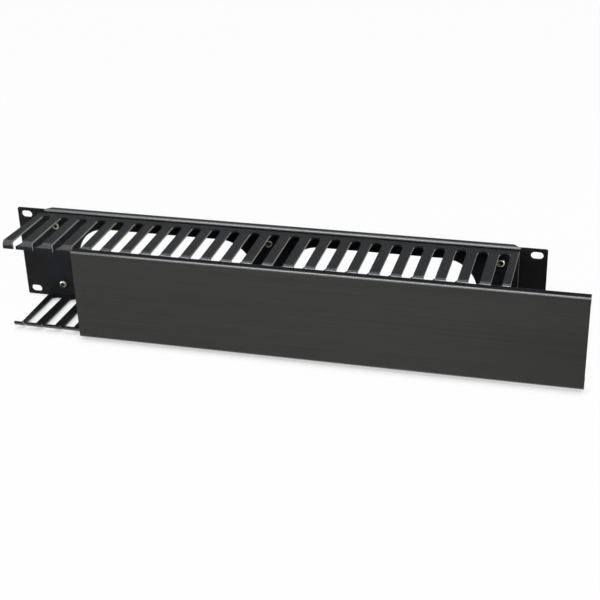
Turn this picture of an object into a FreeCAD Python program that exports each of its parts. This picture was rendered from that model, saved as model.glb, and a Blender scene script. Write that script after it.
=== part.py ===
"""Horizontal cable manager, two rack units high: a folded steel panel, a plastic finger duct
on its face, a cover that slides along the fingers, and the screws and nuts of the duct.

Millimetres. The origin is the centre of the rack slot pattern on the panel's back face.
X runs along the rack, Y into the rack and Z up, so the cover faces -Y."""

import math
import os

import FreeCAD
import Part

# Panel
PANEL_LENGTH = 482.6
PANEL_HEIGHT = 88.1
PANEL_SHEET = 1.5
PANEL_CORNER = 1.5
FLANGE_DEPTH = 6.0
FLANGE_BEND = 2.0
LEFT_EAR = 26.3
RIGHT_EAR = 22.6

# Rack slots in the ears
SLOT_FROM_END = 8.75
SLOT_FROM_EDGE = 5.95
RACK_SLOT_LENGTH = 10.5
RACK_SLOT_HEIGHT = 6.5

# Finger duct
DUCT_HEIGHT = 84.0
DUCT_DEPTH = 69.0
DUCT_WALL = 1.8
DUCT_CORNER = 3.0
SLOT_COUNT = 24
SLOT_PITCH = 18.0
SLOT_WIDTH = 9.4
SLOT_START = 8.5
END_FINGER = 6.3

# Cable windows through panel and duct, and screws, set out from the duct's outside
WINDOW_MARGIN = 12.5
WINDOW_END = 34.0
WINDOW_BRIDGE = 32.0
SCREW_MARGIN = 12.0
SCREW_END = 15.0

# Finger lips and heads
LIP_BEND = 4.0
UPPER_LIP_DROP = 3.0
LOWER_LIP_DROP = 0.6
HEAD_GAP = 2.8
UPPER_GAP_OFFSET = 0.8
LOWER_GAP_OFFSET = -2.0
HEAD_SHOULDER = 3.0
HEAD_OVERHANG = 4.3
NOTCH_WIDTH = 3.8
NOTCH_DEPTH = 1.6

# Cover
COVER_LENGTH = 436.0
COVER_OFFSET = 63.0
COVER_INSET = 0.7
COVER_REACH = 7.5
COVER_WALL = 1.6
COVER_BEND = 1.6
COVER_EDGE = 0.4
HOOK_WALL = 1.4
BARB_RISE = 1.3
BARB_LENGTH = 1.5

# Clearances between the cover and the fingers
FLANGE_CLEARANCE = 0.3
HOOK_CLEARANCE = 0.35
BARB_CLEARANCE = 0.3

# Screws and nuts
SCREW_DIAMETER = 4.0
SCREW_LENGTH = 8.0
SCREW_CHAMFER = 0.4
HEAD_DIAMETER = 7.5
HEAD_THICKNESS = 2.7
HEAD_CROWN = 2.4
HEAD_RIM = 1.2
RECESS_LENGTH = 4.4
RECESS_WIDTH = 0.9
RECESS_DEPTH = 1.6
NUT_FLATS = 7.0
NUT_THICKNESS = 3.2
NUT_CHAMFER = 0.35
HOLE_CLEARANCE = 0.25
NUT_CLEARANCE = 0.05

# Places that several pieces share
PANEL_BACK = 0.0
PANEL_FRONT = PANEL_BACK - PANEL_SHEET
WEB_FRONT = PANEL_FRONT - DUCT_WALL
LIP_FRONT = PANEL_FRONT - DUCT_DEPTH
LIP_BACK = LIP_FRONT + DUCT_WALL
BEND_CENTRE_Y = LIP_FRONT + LIP_BEND
BEND_CENTRE_Z = DUCT_HEIGHT / 2 - LIP_BEND
UPPER_LIP_TIP = BEND_CENTRE_Z - UPPER_LIP_DROP
LOWER_LIP_TIP = BEND_CENTRE_Z - LOWER_LIP_DROP
DUCT_LENGTH = (SLOT_COUNT - 1) * SLOT_PITCH + SLOT_WIDTH + 2 * END_FINGER
SLOT_REAR = PANEL_FRONT - SLOT_START
WINDOW_HEIGHT = DUCT_HEIGHT - 2 * WINDOW_MARGIN
WINDOW_LENGTH = DUCT_LENGTH / 2 - WINDOW_END - WINDOW_BRIDGE / 2
WINDOW_CENTRE = (WINDOW_BRIDGE + WINDOW_LENGTH) / 2
SCREW_COLUMNS = (SCREW_END - DUCT_LENGTH / 2, 0.0, DUCT_LENGTH / 2 - SCREW_END)
SCREW_ROWS = (DUCT_HEIGHT / 2 - SCREW_MARGIN, SCREW_MARGIN - DUCT_HEIGHT / 2)
BEYOND = 2.0


def vector(x, y, z):
    return FreeCAD.Vector(x, y, z)


def rounded_face(corners):
    """Flat face through (point, radius) corners, each rounded by its own radius."""
    starts = []
    middles = []
    ends = []
    for index, (corner, radius) in enumerate(corners):
        before = (corners[index - 1][0] - corner).normalize()
        after = (corners[(index + 1) % len(corners)][0] - corner).normalize()
        half = before.getAngle(after) / 2
        run = radius / math.tan(half)
        inward = (before + after).normalize()
        starts.append(corner + before * run)
        middles.append(corner + inward * (radius / math.sin(half) - radius))
        ends.append(corner + after * run)
    edges = []
    for index, (corner, radius) in enumerate(corners):
        if radius > 0:
            edges.append(Part.Arc(starts[index], middles[index], ends[index]).toShape())
        following = starts[(index + 1) % len(corners)]
        if ends[index].distanceToPoint(following) > 1e-6:
            edges.append(Part.makeLine(ends[index], following))
    return Part.Face(Part.Wire(edges))


def along_x(profile, start, end):
    """Solid of a (y, z, radius) profile from x = start to x = end."""
    face = rounded_face([(vector(start, y, z), radius) for y, z, radius in profile])
    return face.extrude(vector(end - start, 0, 0))


def along_y(profile, start, end):
    """Solid of an (x, z, radius) profile from y = start to y = end."""
    face = rounded_face([(vector(x, start, z), radius) for x, z, radius in profile])
    return face.extrude(vector(0, end - start, 0))


def along_z(profile, start, end):
    """Solid of an (x, y, radius) profile from z = start to z = end."""
    face = rounded_face([(vector(x, y, start), radius) for x, y, radius in profile])
    return face.extrude(vector(0, 0, end - start))


def box(x0, x1, y0, y1, z0, z1):
    return Part.makeBox(x1 - x0, y1 - y0, z1 - z0, vector(x0, y0, z0))


def stadium(x, z, length, height, y0, y1):
    """Cutter for a slot with round ends, lying along X."""
    left = x - length / 2
    right = x + length / 2
    low = z - height / 2
    high = z + height / 2
    radius = height / 2
    corners = [(left, low, radius), (right, low, radius), (right, high, radius), (left, high, radius)]
    return along_y(corners, y0, y1)


def joined(upper, lower):
    """Closed profile of an upper half and a lower half that is given as if above."""
    return upper + [(y, -z, radius) for y, z, radius in reversed(lower)]


def wall_cutters(y0, y1):
    """Cutters for the cable windows and screw holes, through walls from y0 to y1."""
    cutters = []
    for side in (-1, 1):
        cutters.append(stadium(side * WINDOW_CENTRE, 0, WINDOW_LENGTH, WINDOW_HEIGHT, y0, y1))
    radius = SCREW_DIAMETER / 2 + HOLE_CLEARANCE
    for x in SCREW_COLUMNS:
        for z in SCREW_ROWS:
            cutters.append(Part.makeCylinder(radius, y1 - y0, vector(x, y0, z), vector(0, 1, 0)))
    return cutters


def make_panel():
    """Steel panel, flanges folded back along its top and bottom, with plain ears."""
    top = PANEL_HEIGHT / 2
    rear = PANEL_FRONT + FLANGE_DEPTH
    inner = FLANGE_BEND - PANEL_SHEET
    ends = (LEFT_EAR - PANEL_LENGTH / 2, PANEL_LENGTH / 2 - RIGHT_EAR)
    fold = [
        (PANEL_FRONT, top, FLANGE_BEND),
        (rear, top, 0),
        (rear, top - PANEL_SHEET, 0),
        (PANEL_BACK, top - PANEL_SHEET, inner),
    ]
    panel = along_x(joined(fold, fold), ends[0], ends[1])
    for side, start in zip((-1, 1), ends):
        end = side * PANEL_LENGTH / 2
        ear = [
            (start, -top, 0),
            (end, -top, PANEL_CORNER),
            (end, top, PANEL_CORNER),
            (start, top, 0),
        ]
        panel = panel.fuse(along_y(ear, PANEL_FRONT, PANEL_BACK))
    near = PANEL_FRONT - BEYOND
    far = PANEL_BACK + BEYOND
    past = rear + BEYOND
    cutters = wall_cutters(near, far)
    for side, start in zip((-1, 1), ends):
        mitre = [
            (start - side * PANEL_SHEET, PANEL_BACK, 0),
            (start + side * BEYOND, PANEL_BACK, 0),
            (start + side * BEYOND, past, 0),
            (start - side * (FLANGE_DEPTH + BEYOND), past, 0),
        ]
        cutters.append(along_z(mitre, -top - BEYOND, top + BEYOND))
        for level in (-1, 1):
            x = side * (PANEL_LENGTH / 2 - SLOT_FROM_END)
            z = level * (PANEL_HEIGHT / 2 - SLOT_FROM_EDGE)
            cutters.append(stadium(x, z, RACK_SLOT_LENGTH, RACK_SLOT_HEIGHT, near, far))
    return panel.cut(cutters).removeSplitter()


def finger_slot(left, front, z0, z1):
    """Cutter for one finger slot, round at its root and open to y = front."""
    right = left + SLOT_WIDTH
    radius = SLOT_WIDTH / 2
    corners = [(left, SLOT_REAR, radius), (right, SLOT_REAR, radius), (right, front, 0), (left, front, 0)]
    return along_z(corners, z0, z1)


def upper_head_gap(left):
    """Cutter through bend and lip: the full slot down to the shoulders, then the head gap."""
    right = left + SLOT_WIDTH
    gap_left = left + UPPER_GAP_OFFSET
    gap_right = gap_left + HEAD_GAP
    shoulder = BEND_CENTRE_Z + HEAD_SHOULDER
    high = DUCT_HEIGHT / 2 + BEYOND
    low = UPPER_LIP_TIP - BEYOND
    corners = [
        (left, high, 0),
        (right, high, 0),
        (right, shoulder, 0),
        (gap_right, BEND_CENTRE_Z, 0),
        (gap_right, low, 0),
        (gap_left, low, 0),
        (gap_left, BEND_CENTRE_Z, 0),
        (left, shoulder, 0),
    ]
    return along_y(corners, LIP_FRONT - BEYOND, BEND_CENTRE_Y)


def lower_head_gap(left):
    """Cutter through bend and lip: a narrow gap that opens into a notch underneath."""
    gap_left = left + LOWER_GAP_OFFSET
    gap_right = gap_left + HEAD_GAP
    flare = (NOTCH_WIDTH - HEAD_GAP) / 2
    bottom = -DUCT_HEIGHT / 2
    corners = [
        (gap_left, BEYOND - LOWER_LIP_TIP, 0),
        (gap_right, BEYOND - LOWER_LIP_TIP, 0),
        (gap_right, bottom + NOTCH_DEPTH, 0),
        (gap_right + flare, bottom, 0),
        (gap_right + flare, bottom - BEYOND, 0),
        (gap_left - flare, bottom - BEYOND, 0),
        (gap_left - flare, bottom, 0),
        (gap_left, bottom + NOTCH_DEPTH, 0),
    ]
    return along_y(corners, LIP_FRONT - BEYOND, BEND_CENTRE_Y)


def comb_half(tip):
    """Half of the channel's outline, from the web's outside round to its inside."""
    top = DUCT_HEIGHT / 2
    inside = top - DUCT_WALL
    return [
        (PANEL_FRONT, top, DUCT_CORNER),
        (LIP_FRONT, top, LIP_BEND),
        (LIP_FRONT, tip, 0),
        (LIP_BACK, tip, 0),
        (LIP_BACK, inside, LIP_BEND - DUCT_WALL),
        (WEB_FRONT, inside, DUCT_CORNER - DUCT_WALL),
    ]


def make_duct():
    """One-piece channel: a web, two combs of fingers and their inward lips with heads."""
    top = DUCT_HEIGHT / 2
    inside = top - DUCT_WALL
    end = DUCT_LENGTH / 2
    overhang = -end - HEAD_OVERHANG
    duct = along_x(joined(comb_half(UPPER_LIP_TIP), comb_half(LOWER_LIP_TIP)), overhang, end)
    taper = [
        (overhang - BEYOND, BEND_CENTRE_Y, 0),
        (overhang, BEND_CENTRE_Y, 0),
        (-end, SLOT_REAR, 0),
        (-end, BEYOND, 0),
        (overhang - BEYOND, BEYOND, 0),
    ]
    cutters = wall_cutters(WEB_FRONT - BEYOND, PANEL_FRONT + BEYOND)
    cutters.append(along_z(taper, 0, top + BEYOND))
    cutters.append(box(overhang - BEYOND, -end, BEND_CENTRE_Y, BEYOND, -top - BEYOND, 0))
    first = -end + END_FINGER
    for index in range(SLOT_COUNT):
        left = first + index * SLOT_PITCH
        cutters.append(finger_slot(left, BEND_CENTRE_Y, inside - BEYOND, top + BEYOND))
        cutters.append(finger_slot(left, BEND_CENTRE_Y, -top - BEYOND, BEYOND - inside))
        cutters.append(upper_head_gap(left))
        cutters.append(lower_head_gap(left))
    return duct.cut(cutters).removeSplitter()


def cover_half(lip_tip):
    """Half of the lid's outline: its face, flange and the hook behind one row of lips."""
    top = DUCT_HEIGHT / 2 - COVER_INSET
    inside = top - COVER_WALL
    front = LIP_FRONT - COVER_REACH
    face = front + COVER_WALL
    reach = LIP_BEND + FLANGE_CLEARANCE
    rise = inside - BEND_CENTRE_Z
    rear = BEND_CENTRE_Y - math.sqrt(reach * reach - rise * rise)
    hook_top = lip_tip - HOOK_CLEARANCE
    hook_low = hook_top - HOOK_WALL
    barb = LIP_BACK + BARB_CLEARANCE
    tip = barb + BARB_LENGTH
    return [
        (front, top, COVER_BEND),
        (rear, top, COVER_EDGE),
        (rear, inside, COVER_EDGE),
        (face, inside, COVER_EDGE),
        (face, hook_top, COVER_EDGE),
        (barb, hook_top, 0),
        (barb, hook_top + BARB_RISE, COVER_EDGE / 2),
        (tip, hook_top, COVER_EDGE),
        (tip, hook_low, COVER_EDGE),
        (face, hook_low, COVER_EDGE),
    ]


def make_cover():
    """Extruded lid, slid along the fingers from its closed place."""
    start = COVER_OFFSET - COVER_LENGTH / 2
    section = joined(cover_half(UPPER_LIP_TIP), cover_half(LOWER_LIP_TIP))
    return along_x(section, start, start + COVER_LENGTH)


def about_y(profile, x, z):
    """Solid of an (radius from axis, y, corner radius) profile turned about a line along Y."""
    face = rounded_face([(vector(x + r, y, z), radius) for r, y, radius in profile])
    return face.revolve(vector(x, 0, z), vector(0, 1, 0), 360)


def make_screw(x, z):
    """Pan-head screw with a cross recess, its head on the duct's web."""
    shank = SCREW_DIAMETER / 2
    crown = WEB_FRONT - HEAD_THICKNESS
    end = WEB_FRONT + SCREW_LENGTH
    screw = about_y([
        (0, crown, 0),
        (HEAD_CROWN, crown, 0),
        (HEAD_DIAMETER / 2, WEB_FRONT - HEAD_RIM, 0),
        (HEAD_DIAMETER / 2, WEB_FRONT, 0),
        (shank, WEB_FRONT, 0),
        (shank, end - SCREW_CHAMFER, 0),
        (shank - SCREW_CHAMFER, end, 0),
        (0, end, 0),
    ], x, z)
    long = RECESS_LENGTH / 2
    wide = RECESS_WIDTH / 2
    floor = crown + RECESS_DEPTH
    recess = [
        box(x - long, x + long, crown - BEYOND, floor, z - wide, z + wide),
        box(x - wide, x + wide, crown - BEYOND, floor, z - long, z + long),
    ]
    return screw.cut(recess).removeSplitter()


def make_nut(x, z):
    """Hexagon nut, chamfered on both faces, against the panel's back."""
    corner = NUT_FLATS / math.sqrt(3)
    back = PANEL_BACK + NUT_THICKNESS
    points = []
    for step in range(6):
        angle = math.radians(60 * step)
        points.append((x + corner * math.cos(angle), z + corner * math.sin(angle), 0))
    prism = along_y(points, PANEL_BACK, back)
    bore = SCREW_DIAMETER / 2 + NUT_CLEARANCE
    waist = corner + NUT_CHAMFER
    turned = about_y([
        (bore, PANEL_BACK, 0),
        (NUT_FLATS / 2, PANEL_BACK, 0),
        (waist, PANEL_BACK + NUT_CHAMFER, 0),
        (waist, back - NUT_CHAMFER, 0),
        (NUT_FLATS / 2, back, 0),
        (bore, back, 0),
    ], x, z)
    return prism.common(turned)


def write(name, shape):
    """One node as STEP, made of its single solid."""
    solids = shape.Solids
    if len(solids) != 1 or not solids[0].isValid():
        raise ValueError(name + " is not one valid solid")
    solids[0].exportStep(os.path.join("parts", name + ".step"))


def main():
    os.makedirs("parts", exist_ok=True)
    write("mounting_panel", make_panel())
    write("finger_duct", make_duct())
    write("cover", make_cover())
    for row, z in zip(("top", "bottom"), SCREW_ROWS):
        for column, x in zip(("left", "middle", "right"), SCREW_COLUMNS):
            write("screw_" + row + "_" + column, make_screw(x, z))
            write("nut_" + row + "_" + column, make_nut(x, z))


main()
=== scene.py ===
"""Horizontal cable manager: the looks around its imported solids.

The panel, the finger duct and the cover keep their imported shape, with their edges eased
and the duct's first fingers leant to the left. The screws and nuts are modelled afresh,
the screws with their thread and a tapered recess."""

import math

import bmesh
import bpy
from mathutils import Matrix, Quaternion, Vector


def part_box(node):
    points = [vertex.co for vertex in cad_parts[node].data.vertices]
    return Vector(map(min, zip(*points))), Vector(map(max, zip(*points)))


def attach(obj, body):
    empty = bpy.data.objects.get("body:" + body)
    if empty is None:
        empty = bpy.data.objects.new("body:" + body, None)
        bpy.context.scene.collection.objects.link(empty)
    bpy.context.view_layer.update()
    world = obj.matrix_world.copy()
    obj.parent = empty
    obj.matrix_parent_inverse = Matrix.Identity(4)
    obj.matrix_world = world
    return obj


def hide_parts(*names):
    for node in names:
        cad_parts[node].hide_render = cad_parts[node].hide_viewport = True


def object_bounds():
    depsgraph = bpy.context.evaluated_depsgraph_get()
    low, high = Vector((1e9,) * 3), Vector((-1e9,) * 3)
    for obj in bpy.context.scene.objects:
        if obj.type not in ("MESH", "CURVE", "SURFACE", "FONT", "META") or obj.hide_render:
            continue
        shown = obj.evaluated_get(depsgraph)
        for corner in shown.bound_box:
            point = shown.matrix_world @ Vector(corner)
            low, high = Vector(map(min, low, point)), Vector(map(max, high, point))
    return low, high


bl_info = {
    "name": "Rack Cable Manager",
    "version": (1, 0, 0),
    "blender": (4, 5, 0),
    "location": "3D View > Sidebar > Cable Manager",
    "description": "Dresses a rack cable manager: panel, finger duct, sliding cover and fasteners",
    "category": "Add Mesh",
}

MM = 0.001
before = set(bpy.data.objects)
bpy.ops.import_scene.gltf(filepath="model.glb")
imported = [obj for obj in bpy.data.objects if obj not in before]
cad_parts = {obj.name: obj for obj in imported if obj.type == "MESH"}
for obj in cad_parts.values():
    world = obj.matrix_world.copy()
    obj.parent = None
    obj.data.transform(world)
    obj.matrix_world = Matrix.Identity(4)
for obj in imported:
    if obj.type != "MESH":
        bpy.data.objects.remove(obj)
cad_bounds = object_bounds()
COLUMNS = ("left", "middle", "right")
ROWS = ("top", "bottom")

# Distances at which two corners are one: on a finished mesh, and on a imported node's copy
MERGE = 1e-7
WELD = 1e-6
# How near to a plane a corner has to be, to count as on it
HAIR = 0.01 * MM
# How far a cutter reaches past what it cuts
BEYOND = 1 * MM

# Shank and thread. One turn is four steps: each one's way out, in thread depths, and its
# share of the pitch. The run-in, in pitches, lets the thread start before the rod's end.
SHANK_RADIUS = 1.98 * MM
SHANK_OVERLAP = 0.5 * MM
THREAD_FORM = ((0, 0.12), (-1, 0.30), (0, 0.24), (1, 0.34))
THREAD_RUN_IN = 2.37
THREAD_SPARE = 0.1 * MM
THREAD_RELIEF = 0.15 * MM

# Pan head: the crown's rounding as a share of the head's height, then the cross recess.
# A wing's length, tip to tip, is in head radii. Its floor shrinks by the taper, along and
# across.
# The pit is a cone whose wide end stands above the crown, and whose floor is flat.
CROWN_ROUNDING = 0.68
WING_LENGTH = 1.30
WING_WIDTH = 1.15 * MM
WING_TAPER = (0.45, 0.7)
PIT_FLOOR = 0.6 * MM
PIT_FLARE = 1.15
PIT_SINK = 0.37
HEAD_WELD = 0.005 * MM
HEAD_EASE = 0.08 * MM

# Nut
BORE_RADIUS = 2.05 * MM
NUT_SPARE = 0.3 * MM
NUT_CHAMFER = 0.75 * MM
NUT_WELD = 0.02 * MM
NUT_EASE = 0.12 * MM

# Floor: its white, the reach and depth of the shade where something stands on it, and the
# share of it that glows
FLOOR_WHITE = 0.93
CONTACT_REACH = 0.011
CONTACT_SHADE = 0.55
FLOOR_GLOW = 0.97


def middle(node):
    """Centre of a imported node's box."""
    low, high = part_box(node)
    return [(a + b) / 2 for a, b in zip(low, high)]


def span(node, axis):
    """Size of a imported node's box along one axis."""
    low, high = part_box(node)
    return high[axis] - low[axis]


class FinishSettings(bpy.types.PropertyGroup):
    """Colours and surfaces of the plastics, the paint and the plated steel."""

    panel_colour: bpy.props.FloatVectorProperty(
        name="Panel colour", description="Powder coat on the steel panel",
        subtype="COLOR", size=3, min=0, max=1, default=(0.0135, 0.0135, 0.0142))
    duct_colour: bpy.props.FloatVectorProperty(
        name="Duct colour", description="Moulded plastic of the finger duct",
        subtype="COLOR", size=3, min=0, max=1, default=(0.0190, 0.0196, 0.0220))
    # Painted light: a pale colour for the duct's sides that face along X, standing in for light from
    # the right.
    side_light_colour: bpy.props.FloatVectorProperty(
        name="Cut colour", description="Paler plastic on the sides of the fingers and slots",
        subtype="COLOR", size=3, min=0, max=1, default=(0.345, 0.336, 0.300))
    cover_colour: bpy.props.FloatVectorProperty(
        name="Cover colour", description="Grained front of the sliding cover",
        subtype="COLOR", size=3, min=0, max=1, default=(0.0430, 0.0422, 0.0393))
    # Painted shade: the cover's flanges and sides, all that does not face front, get a colour near
    # black.
    shaded_flange_colour: bpy.props.FloatVectorProperty(
        name="Flange colour", description="Smooth black sides and flanges of the cover",
        subtype="COLOR", size=3, min=0, max=1, default=(0.0045, 0.0048, 0.0054))
    zinc_colour: bpy.props.FloatVectorProperty(
        name="Zinc colour", description="Plating on the screws and nuts",
        subtype="COLOR", size=3, min=0, max=1, default=(0.52, 0.50, 0.42))
    edge_ease: bpy.props.FloatProperty(
        name="Edge ease", description="Width of the small rounding on the sheet and plastic edges",
        subtype="DISTANCE", unit="LENGTH", min=0, max=0.001, default=0.2 * MM)


class DuctSettings(bpy.types.PropertyGroup):
    """Set-out of the finger slots, and how far the end fingers spread."""

    first_slot: bpy.props.FloatProperty(
        name="First slot", description="Left side of the slot nearest the left end",
        subtype="DISTANCE", unit="LENGTH", default=-211.7 * MM)
    slot_pitch: bpy.props.FloatProperty(
        name="Slot pitch", description="Distance from one finger slot to the next",
        subtype="DISTANCE", unit="LENGTH", min=0.005, max=0.05, default=18.0 * MM)
    slot_width: bpy.props.FloatProperty(
        name="Slot width", description="Width of a finger slot",
        subtype="DISTANCE", unit="LENGTH", min=0.002, max=0.04, default=9.4 * MM)
    bend_start: bpy.props.FloatProperty(
        name="Bend start", description="Where the fingers' tops turn down into the lips",
        subtype="DISTANCE", unit="LENGTH", default=-66.5 * MM)
    upper_splay: bpy.props.FloatVectorProperty(
        name="Upper splay", description="Lean of the first upper slots to the left at their tips",
        subtype="XYZ", unit="LENGTH", size=3, default=(2.0 * MM, 1.3 * MM, 0.5 * MM))
    lower_splay: bpy.props.FloatVectorProperty(
        name="Lower splay", description="Lean of the first lower slots to the left at their tips",
        subtype="XYZ", unit="LENGTH", size=3, default=(1.9 * MM, 1.4 * MM, 0.9 * MM))


class FastenerSettings(bpy.types.PropertyGroup):
    """Sizes of the head, the thread and the recess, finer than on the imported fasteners."""

    pitch: bpy.props.FloatProperty(
        name="Thread pitch", description="Distance between two turns of the screw thread",
        subtype="DISTANCE", unit="LENGTH", min=0.0003, max=0.002, default=0.7 * MM)
    thread_depth: bpy.props.FloatProperty(
        name="Thread depth", description="Depth of the thread below the shank's outside",
        subtype="DISTANCE", unit="LENGTH", min=0.0001, max=0.001, default=0.4 * MM)
    head_thickness: bpy.props.FloatProperty(
        name="Head thickness", description="Height of the pan head above the duct's web",
        subtype="DISTANCE", unit="LENGTH", min=0.001, max=0.005, default=2.7 * MM)
    pit_radius: bpy.props.FloatProperty(
        name="Pit radius", description="Rough radius of the recess's round pit at the crown",
        subtype="DISTANCE", unit="LENGTH", min=0.0005, max=0.003, default=2.2 * MM)
    recess_depth: bpy.props.FloatProperty(
        name="Recess depth", description="Depth of the cross recess",
        subtype="DISTANCE", unit="LENGTH", min=0.0005, max=0.002, default=1.9 * MM)


class StageSettings(bpy.types.PropertyGroup):
    """The camera, the lamps and the floor."""

    camera_place: bpy.props.FloatVectorProperty(
        name="Camera place", description="Where the camera stands",
        subtype="XYZ", unit="LENGTH", size=3, default=(0.29965, -0.97154, 0.48716))
    camera_aim: bpy.props.FloatVectorProperty(
        name="Camera aim", description="Point at the centre of the view",
        subtype="XYZ", unit="LENGTH", size=3, default=(0.04200, -0.05750, 0.00510))
    camera_roll: bpy.props.FloatProperty(
        name="Camera roll", description="Lean of the camera about its line of sight",
        subtype="ANGLE", default=math.radians(-1.854))
    camera_lens: bpy.props.FloatProperty(
        name="Focal length", description="Focal length on a 36 mm wide frame",
        subtype="DISTANCE_CAMERA", min=10, max=300, default=75.8)
    floor_size: bpy.props.FloatProperty(
        name="Floor size", description="Side of the square floor",
        subtype="DISTANCE", unit="LENGTH", min=1, max=30, default=9.0)
    strip_power: bpy.props.FloatProperty(
        name="Strip lamp", description="Power of the narrow lamp overhead, in watts",
        subtype="POWER", unit="POWER", min=0, max=200, default=3.4)
    front_power: bpy.props.FloatProperty(
        name="Front lamp", description="Power of the low soft lamp at the front left, in watts",
        subtype="POWER", unit="POWER", min=0, max=200, default=0.28)
    side_power: bpy.props.FloatProperty(
        name="Side lamp", description="Power of the soft lamp beyond the right end, in watts",
        subtype="POWER", unit="POWER", min=0, max=200, default=4.2)
    sky: bpy.props.FloatProperty(
        name="Sky", description="Strength of the even light from all round",
        min=0, max=3, default=0.27)


def settings():
    """The four groups of settings, kept on the scene, for the sidebar."""
    scene = bpy.context.scene
    return scene.cable_finish, scene.cable_duct, scene.cable_fasteners, scene.cable_stage


def only(*things):
    """Leaves these objects alone selected, the first of them active."""
    if bpy.context.object and bpy.context.object.mode != "OBJECT":
        bpy.ops.object.mode_set(mode="OBJECT")
    bpy.ops.object.select_all(action="DESELECT")
    for thing in things:
        thing.select_set(True)
    bpy.context.view_layer.objects.active = things[0]


class Editing:
    """Edit mode on one object, entered with nothing in its mesh selected."""

    def __init__(self, thing, mode="FACE"):
        self.thing = thing
        self.mode = mode

    def __enter__(self):
        only(self.thing)
        bpy.ops.object.mode_set(mode="EDIT")
        bpy.ops.mesh.select_mode(type=self.mode)
        bpy.ops.mesh.select_all(action="DESELECT")
        return self

    def __exit__(self, *problem):
        bpy.ops.object.mode_set(mode="OBJECT")

    def pick(self, test):
        """Selects just the faces, edges or corners that pass a test."""
        mesh = bmesh.from_edit_mesh(self.thing.data)
        bpy.ops.mesh.select_all(action="DESELECT")
        items = {"FACE": mesh.faces, "EDGE": mesh.edges, "VERT": mesh.verts}[self.mode]
        for item in items:
            if test(item):
                item.select_set(True)
        mesh.select_flush_mode()
        bmesh.update_edit_mesh(self.thing.data)


def merge(thing, distance):
    """Merges corners closer than a distance and drops what is left loose."""
    with Editing(thing):
        bpy.ops.mesh.select_all(action="SELECT")
        bpy.ops.mesh.remove_doubles(threshold=distance)
        bpy.ops.mesh.select_all(action="SELECT")
        bpy.ops.mesh.delete_loose()


def finish_mesh(thing, angle=35):
    """Merges doubles, turns the faces outwards and smooths all but the sharp edges."""
    merge(thing, MERGE)
    with Editing(thing):
        bpy.ops.mesh.select_all(action="SELECT")
        bpy.ops.mesh.normals_make_consistent(inside=False)
    only(thing)
    bpy.ops.object.shade_smooth_by_angle(angle=math.radians(angle))


def apply(thing, kind, **values):
    """Adds one modifier with these values and applies it."""
    only(thing)
    modifier = thing.modifiers.new(kind.title(), kind)
    for name, value in values.items():
        setattr(modifier, name, value)
    bpy.ops.object.modifier_apply(modifier=modifier.name)


def place(thing):
    """Moves an object's place, turn and scale into its mesh."""
    only(thing)
    bpy.ops.object.transform_apply(location=True, rotation=True, scale=True)


def copied(thing, name):
    """A copy of an object with a mesh of its own."""
    only(thing)
    bpy.ops.object.duplicate()
    twin = bpy.context.object
    twin.name = name
    twin.data.name = name
    return twin


def dress(thing, node, body, material):
    """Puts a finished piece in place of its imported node."""
    thing.data.materials.clear()
    thing.data.materials.append(material)
    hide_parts(node)
    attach(thing, body)


class Value:
    """A number's socket that takes part in Python arithmetic; each step adds a Math node."""

    def __init__(self, finish, socket):
        self.finish = finish
        self.socket = socket

    def maths(self, operation, *terms):
        """One Math node on these terms."""
        numbered = dict(enumerate(terms))
        return self.finish.add("ShaderNodeMath", {"operation": operation}, numbered)

    def __add__(self, other):
        return self.maths("ADD", self, other)

    def __sub__(self, other):
        return self.maths("SUBTRACT", self, other)

    def __rsub__(self, other):
        return self.maths("SUBTRACT", other, self)

    def __mul__(self, other):
        return self.maths("MULTIPLY", self, other)

    __radd__ = __add__
    __rmul__ = __mul__


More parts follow.
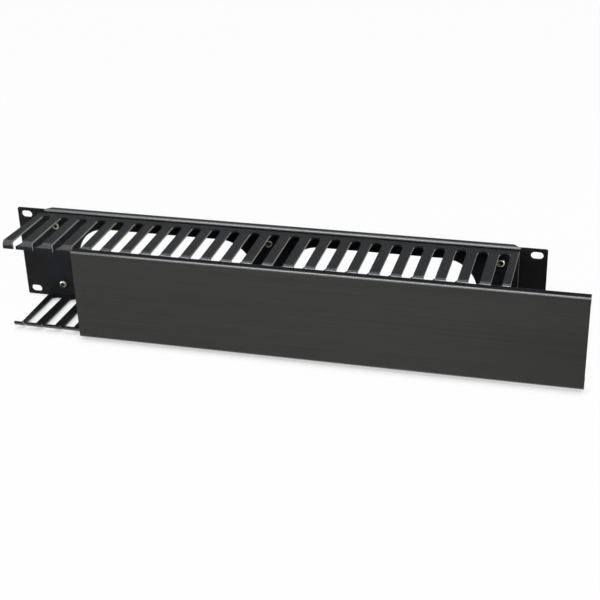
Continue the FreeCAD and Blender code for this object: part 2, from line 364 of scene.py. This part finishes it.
class Finish:
    """One material's node tree, with a method that adds any node."""

    def __init__(self, name):
        self.material = bpy.data.materials.new(name)
        self.material.use_nodes = True
        self.tree = self.material.node_tree
        self.tree.nodes.clear()

    def add(self, kind, options=None, links=None, output=0):
        """Adds a node: its options first, then what its sockets hold or are linked to."""
        node = self.tree.nodes.new(kind)
        for name, value in (options or {}).items():
            setattr(node, name, value)
        for name, value in (links or {}).items():
            if isinstance(value, Value):
                self.tree.links.new(value.socket, node.inputs[name])
            else:
                node.inputs[name].default_value = value
        return Value(self, node.outputs[output])

    def stretched(self, scale):
        """Object coordinates, scaled along each axis."""
        where = self.add("ShaderNodeTexCoord", output="Object")
        return self.add("ShaderNodeMapping", {}, {"Vector": where, "Scale": scale})

    def noise(self, vector, scale=1.0, detail=3.0, roughness=0.5):
        """Noise from 0 to 1 at a vector."""
        return self.add("ShaderNodeTexNoise", {}, {
            "Vector": vector, "Scale": scale, "Detail": detail, "Roughness": roughness})

    def facing(self, axis):
        """How squarely the surface faces along an axis, from 0 to 1."""
        normal = self.add("ShaderNodeTexCoord", output="Normal")
        part = self.add("ShaderNodeSeparateXYZ", {}, {"Vector": normal}, axis)
        return part.maths("ABSOLUTE", part)

    def position(self, axis):
        """Place along an axis, in metres."""
        where = self.add("ShaderNodeTexCoord", output="Object")
        return self.add("ShaderNodeSeparateXYZ", {}, {"Vector": where}, axis)

    def square_to(self, axis):
        """1 on surfaces that face along an axis, and 0 on those that lean away from it."""
        return self.limits(self.facing(axis), 0.80, 0.98, 0, 1)

    def bends(self):
        """1 on surfaces that lean between front and top, and 0 on square ones."""
        return self.limits(self.facing("Y") * self.facing("Z"), 0.04, 0.20, 0, 1)

    def limits(self, value, low, high, to_low, to_high):
        """Maps a value's range smoothly onto another."""
        return self.add("ShaderNodeMapRange", {"interpolation_type": "SMOOTHSTEP"}, {
            "Value": value, "From Min": low, "From Max": high,
            "To Min": to_low, "To Max": to_high})

    def varied(self, noise, to_low, to_high):
        """Maps the usual range of a noise smoothly onto another."""
        return self.limits(noise, 0.3, 0.7, to_low, to_high)

    def mixed(self, share, first, second):
        """A colour between two others."""
        ends = [part if isinstance(part, Value) else (*part, 1) for part in (first, second)]
        links = {0: share, 6: ends[0], 7: ends[1]}
        return self.add("ShaderNodeMix", {"data_type": "RGBA"}, links, 2)

    def tinted(self, colour, brightness):
        """A colour whose brightness follows a value."""
        tint = colour if isinstance(colour, Value) else tuple(colour)
        links = {"Vector": tint, "Scale": brightness}
        return self.add("ShaderNodeVectorMath", {"operation": "SCALE"}, links)

    def surface(self, **sockets):
        """Principled shader and output. Returns the material."""
        links = {name.replace("_", " "): value for name, value in sockets.items()}
        shader = self.add("ShaderNodeBsdfPrincipled", {}, links)
        self.add_output(shader)
        return self.material

    def add_output(self, shader):
        """The material's output, fed by a shader."""
        output = self.tree.nodes.new("ShaderNodeOutputMaterial")
        self.tree.links.new(shader.socket, output.inputs["Surface"])


def powder_coat(colour):
    """Satin black powder coat: an even fine pebble, glossier over the folds."""
    coat = Finish("panel_powder_coat")
    pebble = coat.noise(coat.stretched((1, 1, 1)), scale=1500, detail=2, roughness=0.5)
    cloud = coat.noise(coat.stretched((1, 1, 1)), scale=22, detail=4, roughness=0.6)
    normal = coat.add("ShaderNodeBump", {}, {
        "Strength": 0.22, "Distance": 0.00006, "Height": pebble})
    shade = coat.varied(cloud, 0.85, 1.15)
    return coat.surface(
        Base_Color=coat.tinted(colour, shade),
        Roughness=coat.varied(cloud, 0.40, 0.52),
        Specular_IOR_Level=0.06,
        Coat_Weight=coat.bends(),
        Coat_Roughness=0.26,
        Coat_IOR=2.3,
        Normal=normal)


def moulded_plastic(colour, side_light_colour):
    """Black moulded plastic: glossy on the lips' bends, duller on the fingers' sides, and painted
    paler there as light falling from the right.
    """
    plastic = Finish("duct_moulded_plastic")
    flow = plastic.noise(plastic.stretched((30, 14, 30)), detail=4, roughness=0.55)
    grain = plastic.noise(plastic.stretched((1, 1, 1)), scale=2200, detail=2)
    rub = plastic.noise(plastic.stretched((900, 60, 900)), detail=3)
    # Painted light: faces turned along X are mixed to the pale side-light colour, as if lit from the
    # right; the same mask makes them duller.
    sides = plastic.square_to("X")
    lips = plastic.limits(plastic.position("Y"), -0.062, -0.055, 1, 0)
    normal = plastic.add("ShaderNodeBump", {}, {
        "Strength": 0.16, "Distance": 0.00004, "Height": grain * 0.6 + rub * 0.4})
    black = plastic.tinted(colour, plastic.varied(flow, 0.8, 1.25))
    dullness = plastic.varied(flow, 0.30, 0.40) + (rub - 0.5) * 0.06
    return plastic.surface(
        Base_Color=plastic.mixed(sides, black, tuple(side_light_colour)),
        Roughness=dullness + sides * 0.25,
        Specular_IOR_Level=0.03,
        Coat_Weight=plastic.bends() * lips,
        Coat_Roughness=0.16,
        Coat_IOR=1.75,
        Normal=normal)


def extruded_plastic(colour, shaded_flange_colour):
    """Extruded plastic: a grained charcoal front with lengthwise streaks, and flanges and sides
    painted near black as shade, since they do not face front.
    """
    plastic = Finish("cover_extruded_plastic")
    wide = plastic.noise(plastic.stretched((3, 120, 120)), detail=3, roughness=0.6)
    fine = plastic.noise(plastic.stretched((9, 1100, 1100)), detail=2, roughness=0.5)
    grain = plastic.noise(plastic.stretched((1, 1, 1)), scale=2600, detail=2)
    streaks = wide * 0.55 + fine * 0.45
    # Painted shade: what does not face front takes the shaded flange colour instead of the cover's
    # own.
    front = plastic.square_to("Y")
    normal = plastic.add("ShaderNodeBump", {}, {
        "Strength": 0.18, "Distance": 0.00004, "Height": fine * 0.7 + grain * 0.3})
    shade = plastic.limits(streaks, 0.35, 0.65, 0.90, 1.10)
    return plastic.surface(
        Base_Color=plastic.tinted(plastic.mixed(front, shaded_flange_colour, colour), shade),
        Roughness=plastic.limits(streaks, 0.35, 0.65, 0.34, 0.46),
        Specular_IOR_Level=0.02,
        Coat_Weight=plastic.bends(),
        Coat_Roughness=0.14,
        Coat_IOR=2.3,
        Normal=normal)


def zinc_plate(name, colour):
    """Zinc plating: warm bright steel, mottled and lightly brushed, rougher inside the recess and
    painted darker there as shade.
    """
    plate = Finish(name)
    mottle = plate.noise(plate.stretched((1, 1, 1)), scale=900, detail=4, roughness=0.65)
    scratch = plate.noise(plate.stretched((4000, 4000, 500)), detail=2)
    normal = plate.add("ShaderNodeBump", {}, {
        "Strength": 0.12, "Distance": 0.00003, "Height": scratch})
    # Painted shade: the faces marked inside the recess are darkened, as the pit's shade.
    recess = plate.add("ShaderNodeAttribute", {"attribute_name": "recess"}, output="Fac")
    shade = plate.varied(mottle, 0.82, 1.06)
    return plate.surface(
        Base_Color=plate.tinted(colour, shade * (1.0 - recess * 0.88)),
        Metallic=1.0,
        Roughness=plate.varied(mottle, 0.16, 0.30) + recess * 0.25,
        Normal=normal)


def merged_copy(node):
    """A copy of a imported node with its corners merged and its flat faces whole."""
    thing = copied(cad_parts[node], node + "_eased")
    thing.parent = None
    with Editing(thing):
        bpy.ops.mesh.select_all(action="SELECT")
        bpy.ops.mesh.remove_doubles(threshold=WELD)
        bpy.ops.mesh.dissolve_limited(angle_limit=math.radians(0.3))
    return thing


def ease_edges(thing, ease):
    """Rounds the sharp edges slightly and smooths the rest."""
    apply(thing, "BEVEL", width=ease, segments=2, limit_method="ANGLE",
          angle_limit=math.radians(40), miter_outer="MITER_ARC")
    finish_mesh(thing)
    apply(thing, "WEIGHTED_NORMAL", mode="FACE_AREA", weight=100, keep_sharp=True)


def splay_fingers(duct, sizes):
    """Leans the first slots to the left: the upper ones with their heads, the lower at the neck."""
    near = 0.3 * MM
    leans = zip(sizes.upper_splay, sizes.lower_splay)
    for index, (upper, lower) in enumerate(leans):
        left = sizes.first_slot + index * sizes.slot_pitch
        right = left + sizes.slot_width
        with Editing(duct, "VERT") as mesh:
            mesh.pick(lambda vert: vert.co.z > 0 and vert.co.y < sizes.bend_start + near
                      and left - near < vert.co.x < right + near)
            bpy.ops.transform.translate(value=(-upper, 0, 0))
            mesh.pick(lambda vert: vert.co.z < 0 and abs(vert.co.y - sizes.bend_start) < near
                      and min(abs(vert.co.x - left), abs(vert.co.x - right)) < near)
            bpy.ops.transform.translate(value=(-lower, 0, 0))


class CABLE_OT_panel(bpy.types.Operator):
    """Dresses the steel panel in powder coat"""

    bl_idname = "cable.panel"
    bl_label = "Mounting Panel"

    def execute(self, context):
        finish = context.scene.cable_finish
        panel = merged_copy("mounting_panel")
        ease_edges(panel, finish.edge_ease)
        paint = powder_coat(finish.panel_colour)
        dress(panel, "mounting_panel", "frame", paint)
        return {"FINISHED"}


class CABLE_OT_duct(bpy.types.Operator):
    """Dresses the finger duct in moulded plastic"""

    bl_idname = "cable.duct"
    bl_label = "Finger Duct"

    def execute(self, context):
        finish = context.scene.cable_finish
        duct = merged_copy("finger_duct")
        splay_fingers(duct, context.scene.cable_duct)
        ease_edges(duct, finish.edge_ease)
        plastic = moulded_plastic(finish.duct_colour, finish.side_light_colour)
        dress(duct, "finger_duct", "frame", plastic)
        return {"FINISHED"}


class CABLE_OT_cover(bpy.types.Operator):
    """Dresses the sliding cover in extruded plastic"""

    bl_idname = "cable.cover"
    bl_label = "Sliding Cover"

    def execute(self, context):
        finish = context.scene.cable_finish
        cover = merged_copy("cover")
        ease_edges(cover, finish.edge_ease)
        plastic = extruded_plastic(finish.cover_colour, finish.shaded_flange_colour)
        dress(cover, "cover", "cover", plastic)
        return {"FINISHED"}


def threaded_rod(radius, length, pitch, depth):
    """A closed rod with a helical thread, on the Y axis from 0 to its length."""
    bpy.ops.mesh.primitive_plane_add(size=pitch, location=(radius, 0, 0))
    rod = bpy.context.object
    place(rod)
    # The thread's outline: a zigzag beside the axis, grown from one corner
    turns = math.ceil(length / pitch) + 3
    with Editing(rod, "VERT") as mesh:
        corner = rod.data.vertices[0].co.copy()
        mesh.pick(lambda vert: vert.index > 0)
        bpy.ops.mesh.delete(type="VERT")
        bpy.ops.mesh.select_all(action="SELECT")
        start = Vector((radius, -THREAD_RUN_IN * pitch, 0))
        bpy.ops.transform.translate(value=start - corner)
        for outward, share in THREAD_FORM * turns:
            bpy.ops.mesh.extrude_region_move(
                TRANSFORM_OT_translate={"value": (outward * depth, share * pitch, 0)})
    # The outline wound into a helix, and both of its ends closed
    apply(rod, "SCREW", axis="Y", angle=math.tau, screw_offset=pitch, steps=28, render_steps=28,
          iterations=1, use_merge_vertices=True, merge_threshold=MERGE)
    merge(rod, MERGE)
    with Editing(rod):
        bpy.ops.mesh.select_all(action="SELECT")
        bpy.ops.mesh.fill_holes(sides=0)
        bpy.ops.mesh.normals_make_consistent(inside=False)
    # Cut to length, with the tip bevelled past the thread's root
    blank = cylinder_on_y(radius + THREAD_SPARE, 0, length)
    with Editing(blank, "EDGE") as mesh:
        mesh.pick(lambda edge: all(vert.co.y > length - HAIR for vert in edge.verts))
        bpy.ops.mesh.bevel(offset=depth + THREAD_RELIEF, segments=1, affect="EDGES")
    cut(rod, blank, "INTERSECT")
    return rod


def cylinder_on_y(radius, start, end, corners=48):
    """A capped cylinder on the Y axis."""
    bpy.ops.mesh.primitive_cylinder_add(
        vertices=corners, radius=radius, depth=end - start, end_fill_type="NGON",
        location=(0, (start + end) / 2, 0), rotation=(math.pi / 2, 0, 0))
    cylinder = bpy.context.object
    place(cylinder)
    return cylinder


def cut(thing, cutter, operation="DIFFERENCE"):
    """Cuts one closed shape with another and removes the cutter."""
    apply(thing, "BOOLEAN", operation=operation, object=cutter, solver="EXACT")
    only(cutter)
    bpy.ops.object.delete()


def recess_wing(length, width, crown, depth, turned):
    """One tapered wing of a cross recess."""
    along, across = WING_TAPER
    size = (width, depth * 2, length) if turned else (length, depth * 2, width)
    taper = (across, 1, along) if turned else (along, 1, across)
    bpy.ops.mesh.primitive_cube_add(size=1, location=(0, crown, 0), scale=size)
    wing = bpy.context.object
    place(wing)
    with Editing(wing) as mesh:
        mesh.pick(lambda face: face.normal.y > 0.9)
        bpy.ops.transform.resize(value=taper)
    return wing


def mark_recess_shade(head, radius):
    """Marks the faces inside the recess, which point at the axis, or forward and near it, where the
    plating is painted darker as shade.
    """
    marks = head.data.attributes.new("recess", "FLOAT", "FACE")
    for face in head.data.polygons:
        x, z = face.center.x, face.center.z
        inward = face.normal.x * x + face.normal.z * z < 0
        near = math.hypot(x, z) < radius and face.normal.y < 0
        marks.data[face.index].value = 1.0 if inward or near else 0.0


def pan_head_screw(head_radius, head_thickness, shank_radius, length, fasteners):
    """A pan-head screw on the Y axis, its head's underside at 0 and its crown at -Y."""
    head = cylinder_on_y(head_radius, -head_thickness, 0)
    with Editing(head, "EDGE") as mesh:
        crown = -head_thickness + HAIR
        mesh.pick(lambda edge: all(vert.co.y < crown for vert in edge.verts))
        bpy.ops.mesh.bevel(offset=head_thickness * CROWN_ROUNDING, segments=7, affect="EDGES")
    depth = fasteners.recess_depth
    for turned in (False, True):
        wing = recess_wing(head_radius * WING_LENGTH, WING_WIDTH, -head_thickness, depth, turned)
        cut(head, wing)
    bpy.ops.mesh.primitive_cone_add(
        vertices=32, radius1=PIT_FLOOR, radius2=fasteners.pit_radius * PIT_FLARE, depth=depth,
        location=(0, -head_thickness + depth * PIT_SINK, 0), rotation=(math.pi / 2, 0, 0))
    pit = bpy.context.object
    place(pit)
    cut(head, pit)
    merge(head, HEAD_WELD)
    apply(head, "BEVEL", width=HEAD_EASE, segments=2, limit_method="ANGLE",
          angle_limit=math.radians(50))
    finish_mesh(head, angle=30)
    mark_recess_shade(head, fasteners.pit_radius)
    rod = threaded_rod(shank_radius, length + SHANK_OVERLAP,
                       fasteners.pitch, fasteners.thread_depth)
    rod.location.y = -SHANK_OVERLAP
    place(rod)
    finish_mesh(rod, angle=30)
    only(head, rod)
    bpy.ops.object.join()
    return head


def hexagon_nut(flats, thickness, bore_radius):
    """A chamfered hexagon nut on the Y axis, from 0 to its thickness."""
    corner = flats / math.sqrt(3)
    nut = cylinder_on_y(corner, 0, thickness, corners=6)
    turned = cylinder_on_y(corner + NUT_SPARE, 0, thickness, corners=72)
    with Editing(turned, "EDGE") as mesh:
        mesh.pick(lambda edge: abs(edge.verts[0].co.y - edge.verts[1].co.y) < MERGE)
        bpy.ops.mesh.bevel(offset=NUT_CHAMFER, segments=1, affect="EDGES")
    merge(turned, MERGE)
    cut(nut, turned, "INTERSECT")
    hole = cylinder_on_y(bore_radius, -BEYOND, thickness + BEYOND, corners=40)
    cut(nut, hole)
    merge(nut, NUT_WELD)
    apply(nut, "BEVEL", width=NUT_EASE, segments=2, limit_method="ANGLE",
          angle_limit=math.radians(28))
    finish_mesh(nut, angle=30)
    return nut


def set_out(pattern, kind, origin_y, material):
    """Sets copies of one fastener over the six packed ones, then removes the pattern."""
    for row in ROWS:
        for column in COLUMNS:
            node = kind + "_" + row + "_" + column
            piece = copied(pattern, node + "_detailed")
            x, _, z = middle(node)
            piece.location = (x, origin_y, z)
            place(piece)
            dress(piece, node, "frame", material)
    only(pattern)
    bpy.ops.object.delete()


class CABLE_OT_screws(bpy.types.Operator):
    """Models the pan-head screws, with cross recess and thread"""

    bl_idname = "cable.screws"
    bl_label = "Screws"

    def execute(self, context):
        finish = context.scene.cable_finish
        fasteners = context.scene.cable_fasteners
        low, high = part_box("screw_top_left")
        radius = span("screw_top_left", 0) / 2
        thickness = fasteners.head_thickness
        length = high[1] - low[1] - thickness
        screw = pan_head_screw(radius, thickness, SHANK_RADIUS, length, fasteners)
        metal = zinc_plate("screw_zinc_plate", finish.zinc_colour)
        set_out(screw, "screw", low[1] + thickness, metal)
        return {"FINISHED"}


class CABLE_OT_nuts(bpy.types.Operator):
    """Models the hexagon nuts on the panel's back"""

    bl_idname = "cable.nuts"
    bl_label = "Nuts"

    def execute(self, context):
        finish = context.scene.cable_finish
        low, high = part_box("nut_top_left")
        nut = hexagon_nut(high[2] - low[2], high[1] - low[1], BORE_RADIUS)
        metal = zinc_plate("nut_zinc_plate", finish.zinc_colour)
        set_out(nut, "nut", low[1], metal)
        return {"FINISHED"}


def seen_rays(finish):
    """1 for rays sent by the camera, a gloss or a clear surface, and 0 for any others."""
    path = finish.tree.nodes.new("ShaderNodeLightPath")
    camera = Value(finish, path.outputs["Is Camera Ray"])
    glossy = Value(finish, path.outputs["Is Glossy Ray"])
    through = Value(finish, path.outputs["Is Transmission Ray"])
    return camera.maths("MAXIMUM", camera.maths("MAXIMUM", camera, glossy), through)


def pale_floor():
    """A matt white floor that looks white: its glow is darkened by a painted shadow where something
    stands close, and its matt share keeps a soft real shadow.
    """
    floor = Finish("floor_white")
    matt = floor.add("ShaderNodeBsdfDiffuse", {}, {
        "Color": (FLOOR_WHITE, FLOOR_WHITE, FLOOR_WHITE, 1)})
    # Painted shadow: the glow is darkened where ambient occlusion finds the object near.
    openness = floor.add(
        "ShaderNodeAmbientOcclusion", {"samples": 8}, {"Distance": CONTACT_REACH}, "AO")
    white = floor.tinted((1, 1, 1), floor.limits(openness, 0.0, 1.0, CONTACT_SHADE, 1.0))
    glow = floor.add("ShaderNodeEmission", {}, {"Color": white, "Strength": 1.0})
    share = seen_rays(floor) * FLOOR_GLOW
    mixed = floor.add("ShaderNodeMixShader", {}, {0: share, 1: matt, 2: glow})
    floor.add_output(mixed)
    return floor.material


class Sky(Finish):
    """The world's node tree, built with the same methods as a material's."""

    def __init__(self, world):
        world.use_nodes = True
        self.tree = world.node_tree
        self.tree.nodes.clear()


def even_sky(strength):
    """A plain white world: even light, and white wherever it is seen."""
    world = bpy.data.worlds.new("studio_sky")
    sky = Sky(world)
    light = sky.add("ShaderNodeBackground", {}, {"Color": (1, 1, 1, 1), "Strength": strength})
    seen = sky.add("ShaderNodeBackground", {}, {"Color": (1, 1, 1, 1), "Strength": 1.0})
    mixed = sky.add("ShaderNodeMixShader", {}, {0: seen_rays(sky), 1: light, 2: seen})
    output = sky.tree.nodes.new("ShaderNodeOutputWorld")
    sky.tree.links.new(mixed.socket, output.inputs["Surface"])
    return world


def soft_lamp(name, place_at, aim, width, depth, power, colour=(1, 1, 1)):
    """A soft rectangular lamp at a place, turned to a point."""
    bpy.ops.object.light_add(type="AREA", location=place_at)
    lamp = bpy.context.object
    lamp.name = name
    lamp.data.shape = "RECTANGLE"
    lamp.data.size = width
    lamp.data.size_y = depth
    lamp.data.energy = power
    lamp.data.color = colour
    lamp.visible_camera = False
    direction = Vector(aim) - Vector(place_at)
    lamp.rotation_euler = direction.to_track_quat("-Z", "Y").to_euler()
    return lamp


class CABLE_OT_stage(bpy.types.Operator):
    """Sets up the floor, the soft lamps, the world and the camera"""

    bl_idname = "cable.stage"
    bl_label = "Stage"

    def execute(self, context):
        stage = context.scene.cable_stage
        lowest = cad_bounds[0][2]
        bpy.ops.mesh.primitive_plane_add(size=stage.floor_size, location=(0, 0, lowest))
        floor = bpy.context.object
        floor.name = "floor"
        place(floor)
        floor.data.materials.append(pale_floor())
        context.scene.world = even_sky(stage.sky)
        soft_lamp(
            "strip_lamp", place_at=(-0.10, -0.42, 0.85), aim=(-0.10, -0.04, 0),
            width=0.74, depth=0.12, power=stage.strip_power, colour=(0.86, 0.94, 1.0))
        front = soft_lamp(
            "front_lamp", place_at=(-1.30, -0.90, 0.28), aim=(-0.05, -0.08, 0),
            width=0.4, depth=0.3, power=stage.front_power)
        front.data.spread = math.radians(9)
        soft_lamp(
            "side_lamp", place_at=(1.10, -0.30, 0.35), aim=(0, -0.05, 0),
            width=0.4, depth=0.4, power=stage.side_power)
        bpy.ops.object.camera_add(location=stage.camera_place)
        camera = context.object
        camera.name = "camera"
        camera.data.lens = stage.camera_lens
        camera.data.sensor_width = 36
        sight = Vector(stage.camera_aim) - Vector(stage.camera_place)
        lean = Quaternion((0, 0, 1), stage.camera_roll)
        camera.rotation_mode = "QUATERNION"
        camera.rotation_quaternion = sight.to_track_quat("-Z", "Y") @ lean
        context.scene.camera = camera
        context.scene.view_settings.view_transform = "Standard"
        return {"FINISHED"}


class CABLE_PT_sidebar(bpy.types.Panel):
    """Lists the pieces and their settings"""

    bl_idname = "CABLE_PT_sidebar"
    bl_label = "Cable Manager"
    bl_space_type = "VIEW_3D"
    bl_region_type = "UI"
    bl_category = "Cable Manager"

    def draw(self, context):
        for group in settings():
            box = self.layout.box()
            for name in group.__annotations__:
                box.prop(group, name)
        for operator in STEPS:
            self.layout.operator(operator.bl_idname)


STEPS = (CABLE_OT_panel, CABLE_OT_duct, CABLE_OT_cover, CABLE_OT_screws, CABLE_OT_nuts, CABLE_OT_stage)
GROUPS = (FinishSettings, DuctSettings, FastenerSettings, StageSettings)
CLASSES = GROUPS + STEPS + (CABLE_PT_sidebar,)


def register():
    for item in CLASSES:
        bpy.utils.register_class(item)
    bpy.types.Scene.cable_finish = bpy.props.PointerProperty(type=FinishSettings)
    bpy.types.Scene.cable_duct = bpy.props.PointerProperty(type=DuctSettings)
    bpy.types.Scene.cable_fasteners = bpy.props.PointerProperty(type=FastenerSettings)
    bpy.types.Scene.cable_stage = bpy.props.PointerProperty(type=StageSettings)


def unregister():
    del bpy.types.Scene.cable_stage
    del bpy.types.Scene.cable_fasteners
    del bpy.types.Scene.cable_duct
    del bpy.types.Scene.cable_finish
    for item in reversed(CLASSES):
        bpy.utils.unregister_class(item)


def main():
    """Builds every piece and the stage."""
    register()
    bpy.ops.cable.panel()
    bpy.ops.cable.duct()
    bpy.ops.cable.cover()
    bpy.ops.cable.screws()
    bpy.ops.cable.nuts()
    bpy.ops.cable.stage()


if __name__ == "__main__":
    main()
